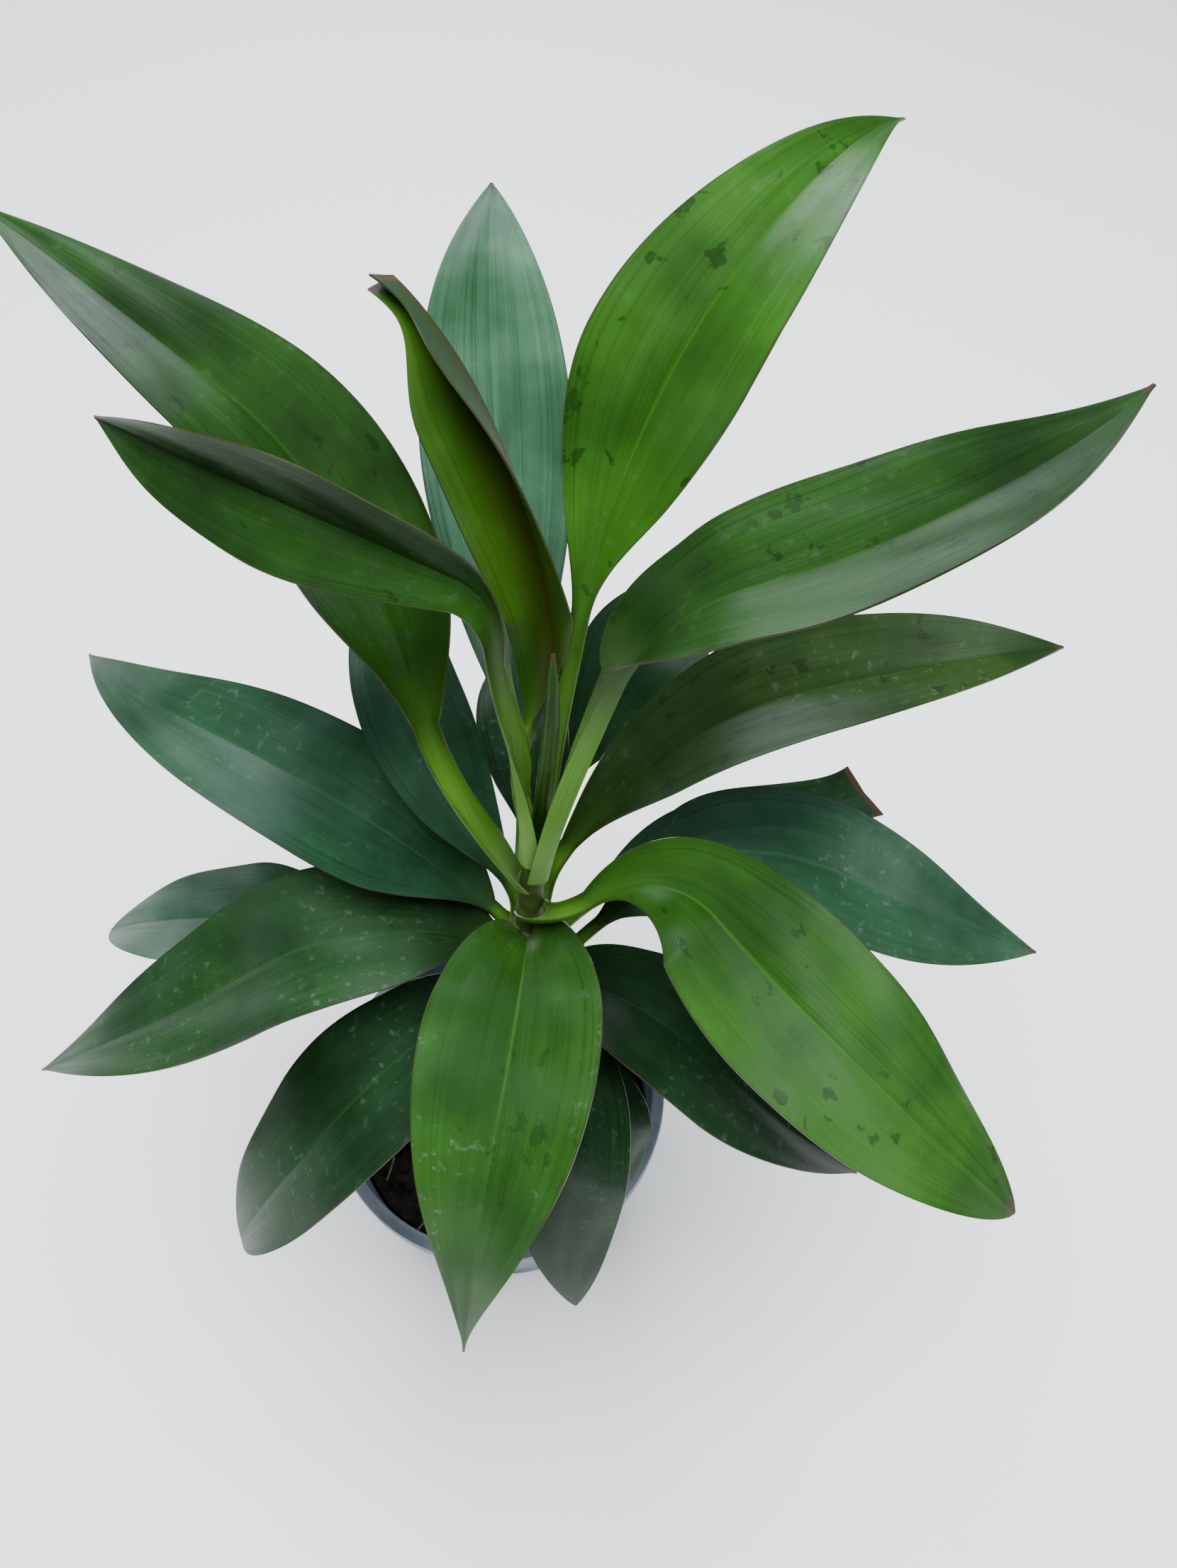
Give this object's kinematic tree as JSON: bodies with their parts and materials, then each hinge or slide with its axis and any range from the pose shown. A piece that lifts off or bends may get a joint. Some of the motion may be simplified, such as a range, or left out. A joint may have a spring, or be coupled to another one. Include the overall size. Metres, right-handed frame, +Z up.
{
  "type": "potted house plant",
  "caption": "Young broad-leaved cordyline in a plain nursery pot: long-stalked arching blades set in a spiral round one slim cane.",
  "frame": {"origin": "centre of the pot's underside, on the surface that the pot stands on", "axes": "+Z up through the middle of the pot, +X to the right and +Y away from someone who faces the plant's front"},
  "size_m": [0.3435, 0.3061, 0.4578],
  "materials": {
    "leaf": "satin leaf, mid green",
    "old_leaf": "satin leaf, blue green",
    "young_leaf": "satin leaf, olive",
    "stem": "matt green cane with leaf scars",
    "soil": "damp potting soil",
    "pot_plastic": "thin moulded plastic"
  },
  "bodies": {
    "root": {"pot": "pot_plastic", "soil": "soil", "stem": "stem", "leaf_tall_right": "leaf", "leaf_back": "old_leaf", "leaf_young_folded": "young_leaf", "leaf_tall_left": "leaf", "leaf_young_left": "leaf", "leaf_high_right": "leaf", "leaf_mid_right": "old_leaf", "leaf_inner_right": "old_leaf", "leaf_low_right": "old_leaf", "leaf_blunt_right": "old_leaf", "leaf_front_right": "leaf", "leaf_low_front_right": "old_leaf", "leaf_front": "leaf", "leaf_low_front": "old_leaf", "leaf_low_front_left": "old_leaf", "leaf_low_left": "leaf", "leaf_lowest_left": "old_leaf", "leaf_mid_left": "old_leaf", "leaf_inner_left": "old_leaf", "leaf_small_front": "old_leaf", "leaf_low_back": "old_leaf", "leaf_spear": "young_leaf"}
  },
  "joints": []
}
